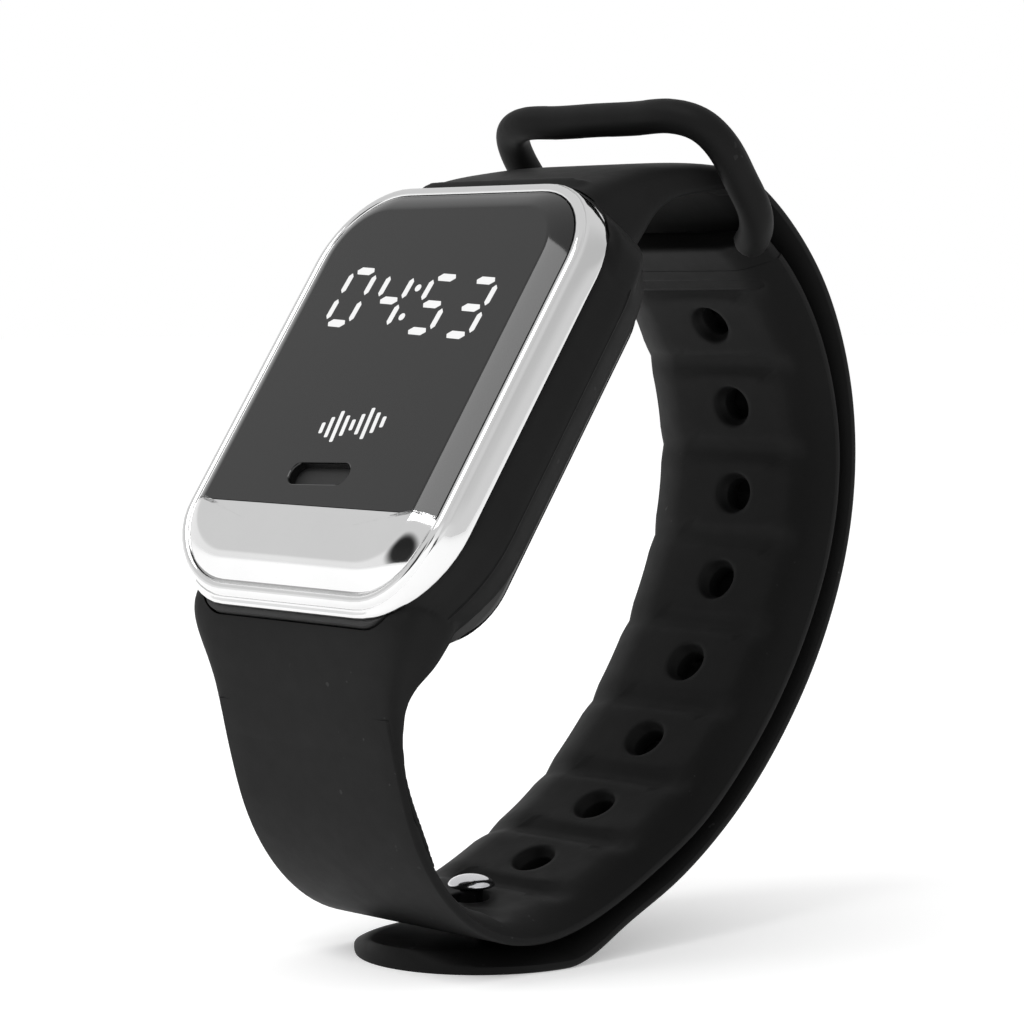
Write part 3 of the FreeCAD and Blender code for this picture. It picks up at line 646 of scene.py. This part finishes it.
ring_block = stack([(13.0, -6.6, 28.0, 8.6, -9.02, 6.9), (13.4, -7.1, 28.3, 9.2, -8.84, 7.2),
                    (14.05, -7.7, 28.6, 9.9, -8.0, 7.8), (14.5, -8.1, 28.8, 10.2, -6.8, 8.2),
                    (14.6, -8.2, 28.9, 10.2, -6.0, 8.3), (14.55, -7.9, 28.7, 9.6, -4.8, 8.2),
                    (14.47, -6.95, 28.4, 7.5, -3.0, 7.6)])
root = ruled([(4.3, -25.2), (2.35, -22.1), (1.15, -19.3), (0.0, -16.0), (-0.5, -13.5), (-0.95, -11.2),
              (-1.25, -9.0), (-1.2, -7.3), (-0.6, -6.0)],
             [(4.4, -24.9), (3.0, -21.7), (1.9, -19.1), (1.25, -16.0), (1.4, -13.5), (1.95, -12.2),
              (2.45, -11.3), (3.1, -10.3), (4.4, -8.4)],
             [9.2, 9.3, 9.4, 9.62, 9.95, 10.6, 11.5, 12.0, 12.2], 7)
COLLAR_UNDER = -7.3
collar_levels = [(21.5, -3.6, 14.2), (23.5, -3.15, 14.45), (25.2, -2.6, 14.1), (26.7, -2.4, 12.4),
                 (28.0, -2.25, 10.2), (28.9, -2.1, 9.2), (29.7, -2.3, 8.9)]      # y, top z, half width
collar = ruled([tilted(np.array([0, y, z]))[1:] for y, z, _ in collar_levels],
               [tilted(np.array([0, y, COLLAR_UNDER]))[1:] for y, _, _ in collar_levels],
               [half for _, _, half in collar_levels], 7)
neck = ruled([(12.0, 18.8), (15.2, 21.3), (18.5, 22.7), (24.7, 24.05), (30.5, 24.5), (34.3, 24.05),
              (35.6, 23.6)],
             [(18.5, 12.0), (21.5, 15.5), (24.3, 18.6), (26.6, 20.9), (30.5, 22.0), (33.9, 22.45),
              (35.2, 22.0)],
             [10.5, 10.5, 10.3, 9.75, 9.5, 9.48, 9.48], 6)


def room(half, y0, y1, corner_r, low, high):
    """A cutter: one rounded rectangle from the low to the high level."""
    return stack([(half, y0, y1, corner_r, z) for z in (low, high)])


pocket = room(13.02, CAP_Y0 + 0.78, CAP_Y1 - 1.18, 6.12, -14.0, -2.0)
tongue_room = room(10.9, CAP_Y0 - 0.52, 2.0, 3.0, -5.05, -2.0)
bezel_room = room(14.62, CAP_Y0 - 0.12, CAP_Y1 + 0.12, 7.32, -3.15, 8.0)
front = melted("watch_surround", [ring_block, root, collar, neck], 0.22, 5,
               (pocket, tongue_room, bezel_room))
finished(front, SILICONE, "band", ["frame", "neck"])

SEAM_R, SEAM_Z = 0.13, -6.4
seam = []
for a in circle(8):
    out = SEAM_R * math.cos(a)
    row = outline(14.46 + out, -8.1 - out, 28.8 + out, 10.2, 8.2, 24, 16)
    seam.append(raised(row, SEAM_Z + SEAM_R * math.sin(a)))
piece("parting_line", [tube(tilted(np.stack(seam + seam[:1])), ring=True)], SILICONE, "band")

# ---- stud strap, in three runs, each round one of its three bend places ----
hinge_s = [tail.nearest(*TAIL_LINE[k]) for k in (10, 12, 14)]
s_flat = tail.nearest(*TAIL_LINE[-1])
tail_borders = s_flat - (np.arange(HOLES) + 0.4) * PITCH
s_cut = [(hinge_s[0] + hinge_s[1]) / 2, (hinge_s[1] + hinge_s[2]) / 2]
s_tip = tail.length
tip_s = s_tip - BAND_HW * (1 - np.sin(np.linspace(0, math.pi / 2, 40)))
tip_width = np.sqrt(np.clip(1 - ((tip_s - (s_tip - BAND_HW)) / BAND_HW) ** 2, 0.0004, 1))
stretches = [("tail_upper_run", np.linspace(-0.4, s_cut[0], 190), None, ("band", "tail_upper"), 0,
              ["tail_base"]),
             ("tail_middle_run", np.linspace(*s_cut, 60), None, ("tail_upper", "tail_middle"), 1,
              ["tail_upper", "tail_middle"]),
             ("tail_end_run", np.concatenate([np.linspace(s_cut[1], tip_s[0], 90)[:-1], tip_s]), tip_width,
              ("tail_middle", "tail_end"), 2, ["tail_end"])]
BEND_REACH = (2.4, 2.8, 3.6)
for name, s, tip, bodies, k, nodes in stretches:
    width = None if tip is None else np.concatenate([np.ones(len(s) - len(tip)), tip])
    s = np.clip(s, 0, tail.length)
    skin = swept(tail, -1, s, TAIL_T, TAIL_EDGE_T, tail_borders, width)
    run = piece(name, [skin], SILICONE, replaces=nodes)
    (y, z), (wy, wz) = tail.at(hinge_s[k])
    start, end = [((np.array([0, y + q * wy, z + q * wz]) + SHIFT) * MM).tolist()
                  for q in (-BEND_REACH[k], BEND_REACH[k])]
    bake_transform(run)


# ---- stud ----
def turned_solid(profile, x, y, around):
    """Closed shell turned about an upright line through (x, y), from (radius, z) pairs."""
    turn = circle(around)
    r, z = np.array(profile, float).T[..., None]
    return tube(np.stack([x + r * np.cos(turn), y + r * np.sin(turn), z + 0.0 * turn], -1))


def dome(r, z0, height, rim=0.12, n=10):
    """Profile of a button: upright rim, then a quarter-ellipse crown."""
    crown = [(max(r * math.cos(q), 0.02), z0 + rim + (height - rim) * math.sin(q))
             for q in np.linspace(0, QUARTER, n)[1:]]
    return [(r, z0 + rim)] + crown


STUD_NECK_R, STUD_HEAD_R, STUD_HEAD_H = 0.85, 1.75, 0.95
DISC_R, DISC_T = 2.4, 0.55
head_low = HOLED_LINE[LOWEST][1] + STRAP_T + 0.85
button = [(STUD_NECK_R, FLAT_Z + 0.5), (STUD_NECK_R, head_low - 0.3), (STUD_NECK_R + 0.1, head_low - 0.05),
          (STUD_HEAD_R - 0.2, head_low)] + dome(STUD_HEAD_R, head_low, STUD_HEAD_H)
disc = [(0.02, FLAT_Z - 0.02), (DISC_R - 0.2, FLAT_Z - 0.02), (DISC_R - 0.04, FLAT_Z + 0.06),
        (DISC_R, FLAT_Z + 0.2), (DISC_R, FLAT_Z + DISC_T), (0.02, FLAT_Z + DISC_T)]
piece("stud_button", [turned_solid(button, 0, STUD_Y, 48)], STEEL, "tail_end", ["stud"], sharp=70)
piece("stud_disc", [turned_solid(disc, 0, STUD_Y, 48)], STEEL, "tail_end", ["stud_base"])


# ---- chrome bezel, chin and lens, face up ----
CHIN_FALL, FALL_FROM, FALL_RUN, FALL_POWER = 1.5, -0.4, 6.2, 1.7


def fall(y):
    """How far the face drops towards the chin's end: a power curve."""
    return CHIN_FALL * np.clip((FALL_FROM - np.asarray(y, float)) / FALL_RUN, 0, 1) ** FALL_POWER


def offset_outline(d):
    """The bezel's outline moved in by d."""
    return outline(CAP_HW - d, CAP_Y0 + d, CAP_Y1 - d, CORNER_R - d, CORNER_R - d)


# How far in, z, and the share of the chin's fall that the level takes.
bezel_profile = [(1.25, -3.0, 0), (1.25, -1.0, 0.6), (1.24, -0.86, 1), (1.16, -0.76, 1), (1.0, -0.7, 1),
                 (0.8, -0.7, 1), (0.62, -0.76, 1), (0.53, -0.88, 1), (0.5, -1.02, 1), (0.46, -1.08, 1),
                 (0.41, -1.05, 1), (0.36, -1.1, 1), (0.28, -1.35, 0.85), (0.16, -1.75, 0.6),
                 (0.05, -2.2, 0.35), (0.0, -2.6, 0.15), (-0.02, -2.9, 0.05), (0.0, -3.04, 0),
                 (0.08, -3.1, 0), (1.1, -3.1, 0), (1.25, -3.08, 0)]
rows = []
for d, z, share in bezel_profile:
    row = offset_outline(d)
    rows.append(raised(row, z - share * fall(row[:, 1])))
piece("bezel_band", [tube(tilted(np.stack(rows)), ring=True)], CHROME, "watch_head", ["bezel"],
      sharp=60)

ROLL, DROP = 1.75, 0.8
down = np.array([1.0, 0.985, 0.94, 0.85, 0.7, 0.5, 0.3, 0.15, 0.0])     # share of the way down the bevel
edge_in = ROLL * (1 - down)
edge_z = -DROP * (0.5 * down + 0.5 * down ** 2)


def face_levels(y0, y1, low, high, under, low_r, high_r):
    """Levels of a face part from its underside up its side and over its rolled edge: (outline, z). low and
    high say whether its ends are rolled too."""
    face_hw = CAP_HW - FACE_IN
    levels = []
    for inset, z in [(0.25, under), (0.0, under + 0.1), (0.0, -DROP - 0.15)] + list(zip(edge_in, edge_z)):
        levels.append((outline(face_hw - inset, y0 + inset * low, y1 - inset * high,
                               max(low_r - inset * low, 0.02), max(high_r - inset * high, 0.02)), z))
    return levels


lens_levels = face_levels(0.03, CAP_Y1 - FACE_IN, 0, 1, -1.5, 0.03, CORNER_R - FACE_IN)
flat_in = FACE_IN + edge_in[-1]
flat_edge = outline(CAP_HW - flat_in - 0.05, 0.03, CAP_Y1 - flat_in - 0.05, 0.02, CORNER_R - flat_in)
lens_levels.append((flat_edge, 0.0))
slot_x, slot_y, slot_w, slot_h, slot_turn = LENS_SLOT


def slot_row(grow):
    """The slot's rounded outline, grown and turned a little."""
    half, corner_r = slot_h / 2 + grow, slot_h / 2 - 0.02 + grow
    return turned(outline(slot_w / 2 + grow, -half, half, corner_r, corner_r), math.radians(slot_turn),
                  [slot_x, slot_y])


rows = [raised(row, z) for row, z in lens_levels]
last = lens_levels[-1][0]
rows += [raised(last * (1 - q) + slot_row(0.1) * q, 0.0) for q in (0.25, 0.5, 0.75, 1.0)]
rows += [raised(slot_row(grow), z) for grow, z in ((0.04, -0.03), (0.0, -0.12), (0.0, -1.4), (0.05, -1.5))]
piece("lens_shell", [tube(tilted(np.stack(rows)), ring=True)], LENS, "watch_head", ["lens"],
      sharp=20)
# A near-black plug set into the slot above its mesh: painted shade standing in for the dark depth of the
# slot.
slot_shade_plug = tube(tilted(np.stack([raised(slot_row(-0.01), z) for z in (-1.1, -0.75)])))
piece("slot_painted_shade", [slot_shade_plug], moulded("painted_slot_shade", 0.004, 0.5), "watch_head")

CHIN_UNDER = -2.4
rows = []
for row, z in face_levels(CAP_Y0 + FACE_IN, -0.03, 1, 0, CHIN_UNDER, CORNER_R - FACE_IN, 0.03):
    rows.append(raised(row, z - fall(row[:, 1]) * (z > CHIN_UNDER + 0.1)))
inner = rows[-1][:, :2]
spine = np.stack([inner[:, 0] * 0.55, np.clip(inner[:, 1], -2.4, -1.2)], -1)
for q in np.linspace(0, 1, 9)[1:]:
    row = inner * (1 - q) + spine * q
    rows.append(raised(row, -fall(row[:, 1])))
piece("chin_cap", [tube(tilted(np.stack(rows)))], CHROME, "watch_head", ["chin"], sharp=60)

# ---- back cover and charging contacts ----
cover = [(11.8, -4.8, 26.0, 4.8, -8.6), (11.8, -4.8, 26.0, 4.8, -10.0), (11.6, -4.6, 25.8, 4.6, -10.45),
         (11.15, -4.2, 25.4, 4.3, -10.8), (10.5, -3.6, 24.8, 4.0, -11.0), (9.7, -2.8, 24.0, 3.6, -11.05)]
piece("cover_shell", [stack(cover)], COVER_BLACK, "watch_head", ["back_cover"])
mid_y = (CAP_Y0 + CAP_Y1) / 2
contact = [(0.97, -10.2), (0.97, -11.07), (0.9, -11.12), (0.3, -11.13)]
contacts = [turned_solid(contact, x, mid_y, 40) for x in (-2.5, 2.5)]
piece("contact_discs", [(tilted(points), faces) for points, faces in contacts], GOLD, "watch_head",
      ["charge_contacts"])

# ---- lit digits, colon and sound symbol, as thin skins on the lens ----
SKIN = 0.02
DISPLAY_TURN = math.radians(-3.7)
DISPLAY_AT = (0.3, 17.15)
DIGIT_XS = (-6.85, -2.45, 2.5, 6.8)
DIGIT_W, DIGIT_H = 2.7, 4.6
BAR_AT = {"a": (0, 1), "b": (1, 0.5), "c": (1, -0.5), "d": (0, -1), "e": (-1, -0.5), "f": (-1, 0.5),
          "g": (0, 0)}
LIT_BARS = ("abcdef", "bcfg", "acdfg", "abcdg")
UPRIGHT_BAR, LEVEL_BAR = (1.75, 0.52, 0.0), (1.95, 0.62, 0.35)       # length, width, lean
DOT_R, DOT_Y = 0.3, 1.25
SOUND_TURN, SOUND_AT = math.radians(6.5), (0.85, 6.72)
SOUND_HEIGHTS = (0.9, 1.7, 2.6, 1.7, 0.9, 1.7, 2.6, 1.7, 0.9)
SOUND_PITCH, SOUND_HW = 0.78, 0.18


def skin_of(rows_xy):
    """A thin plate from a closed outline: its edge rises, then a fan closes top and underside."""
    return tube(tilted(np.stack([raised(rows_xy, 0.002), raised(rows_xy, SKIN)])))


def bar(length, width, lean, upright):
    """A bar with pointed ends: a flat hexagon, its long sides slid along each other by lean."""
    a, w = length / 2, width / 2
    row = np.array([(-a, 0), (-a + w, w), (a - w, w), (a, 0), (a - w, -w), (-a + w, -w)], float)
    row[:, 0] += lean * row[:, 1]
    return row[:, ::-1][::-1] if upright else row


skins = []
for x0, names in zip(DIGIT_XS, LIT_BARS):
    for name in names:
        ex, ey = BAR_AT[name]
        upright = name in "bcef"
        row = bar(*(UPRIGHT_BAR if upright else LEVEL_BAR), upright)
        row = row + [x0 + ex * DIGIT_W / 2, ey * DIGIT_H / 2]
        skins.append(skin_of(turned(row, DISPLAY_TURN, DISPLAY_AT)))
dot = circle(24)
for y in (-DOT_Y, DOT_Y):
    row = np.stack([DOT_R * np.cos(dot), y + DOT_R * np.sin(dot)], -1)
    skins.append(skin_of(turned(row, DISPLAY_TURN, DISPLAY_AT)))
piece("time_digits", skins, LIT, "watch_head", ["lit_segments"], sharp=30, merge=1e-9)

skins = []
for k, height in enumerate(SOUND_HEIGHTS):
    row = outline(SOUND_HW, -height / 2, height / 2, 0.1, 0.1, 3, 2) + [(k - 4) * SOUND_PITCH, 0]
    skins.append(skin_of(turned(row, SOUND_TURN, SOUND_AT)))
piece("sound_bars", skins, LIT, "watch_head", ["sound_symbol"], sharp=30, merge=1e-9)


# ---- floor, light and camera ----
def stage_plane(name, corners, material):
    """A flat piece of the studio, which is no part of the object."""
    mesh = bpy.data.meshes.new(name)
    mesh.from_pydata(corners, [], [[0, 1, 2, 3]])
    mesh.materials.append(material)
    obj = bpy.data.objects.new(name, mesh)
    bpy.context.scene.collection.objects.link(obj)


table = Finish("light_table", Specular_IOR_Level=0.0, Emission_Strength=0.3)
table_tone = table.noise(3)
stage_plane("floor", [(-3, -3, 0), (3, -3, 0), (3, 3, 0), (-3, 3, 0)],
            table.wire(Base_Color=table.mix(table_tone, grey(0.93), grey(0.95)),
                       Emission_Color=table.mix(table_tone, grey(0.97), grey(1.0)),
                       Roughness=0.85 + table_tone * 0.1))

VIEW = Vector((-0.73373, 0.67638, -0.06451))        # the way the camera looks
EYE = [181.54, -147.47, 14.62]                      # where it stands, in the shapes' own millimetres


def studio_world():
    """A white room, a little dimmer overhead and to one side, with dark places where the camera stands and
    in front of the face."""
    world = bpy.data.worlds.new("studio")
    bpy.context.scene.world = world
    world.use_nodes = True
    nodes, links = world.node_tree.nodes, world.node_tree.links
    way = nodes.new("ShaderNodeTexCoord").outputs["Generated"]

    def lobe(direction, low, high, inside, outside):
        """Radiance that goes from outside to inside as the cosine to a direction goes from low to high."""
        dot = nodes.new("ShaderNodeVectorMath")
        dot.operation = "DOT_PRODUCT"
        dot.inputs[1].default_value = direction
        links.new(way, dot.inputs[0])
        ramp = nodes.new("ShaderNodeMapRange")
        ramp.interpolation_type = "SMOOTHSTEP"
        links.new(dot.outputs["Value"], ramp.inputs["Value"])
        for key, value in (("From Min", low), ("From Max", high), ("To Min", outside), ("To Max", inside)):
            ramp.inputs[key].default_value = value
        return ramp.outputs[0]

    light, *others = (lobe((0, 0, 1), 0.12, 0.3, 0.78, 1.0), lobe((0.73, 0.68, 0.0), 0.6, 0.9, 0.8, 1.0),
                      lobe(-VIEW, 0.955, 0.985, 0.03, 1.0), lobe((-0.12, -0.97, 0.2), 0.93, 0.98, 0.03, 1.0))
    for part in others:
        product = nodes.new("ShaderNodeMath")
        product.operation = "MULTIPLY"
        links.new(light, product.inputs[0])
        links.new(part, product.inputs[1])
        light = product.outputs[0]
    links.new(light, nodes["Background"].inputs["Strength"])
    nodes["Background"].inputs["Color"].default_value = (1, 1, 1, 1)


studio_world()
bpy.context.scene.view_settings.view_transform = "Standard"


def softbox(name, place, target, size, watts):
    """A rectangular light that faces its target."""
    data = bpy.data.lights.new(name, "AREA")
    data.shape, data.size, data.size_y, data.energy = "RECTANGLE", *size, watts
    obj = bpy.data.objects.new(name, data)
    bpy.context.scene.collection.objects.link(obj)
    obj.location = place
    obj.rotation_euler = (Vector(target) - Vector(place)).to_track_quat("-Z", "Y").to_euler()


softbox("key", (-0.05, -0.49, 0.73), (0, 0, 0.04), (0.68, 0.34), 2.8)

camera_data = bpy.data.cameras.new("camera")
camera_data.lens, camera_data.sensor_width = 117.5, 36.0
camera_data.clip_start = 0.01
camera = bpy.data.objects.new("camera", camera_data)
bpy.context.scene.collection.objects.link(camera)
camera.location = ((np.array(EYE) + SHIFT) * MM).tolist()
camera.rotation_euler = VIEW.to_track_quat("-Z", "Y").to_euler()
bpy.context.scene.camera = camera
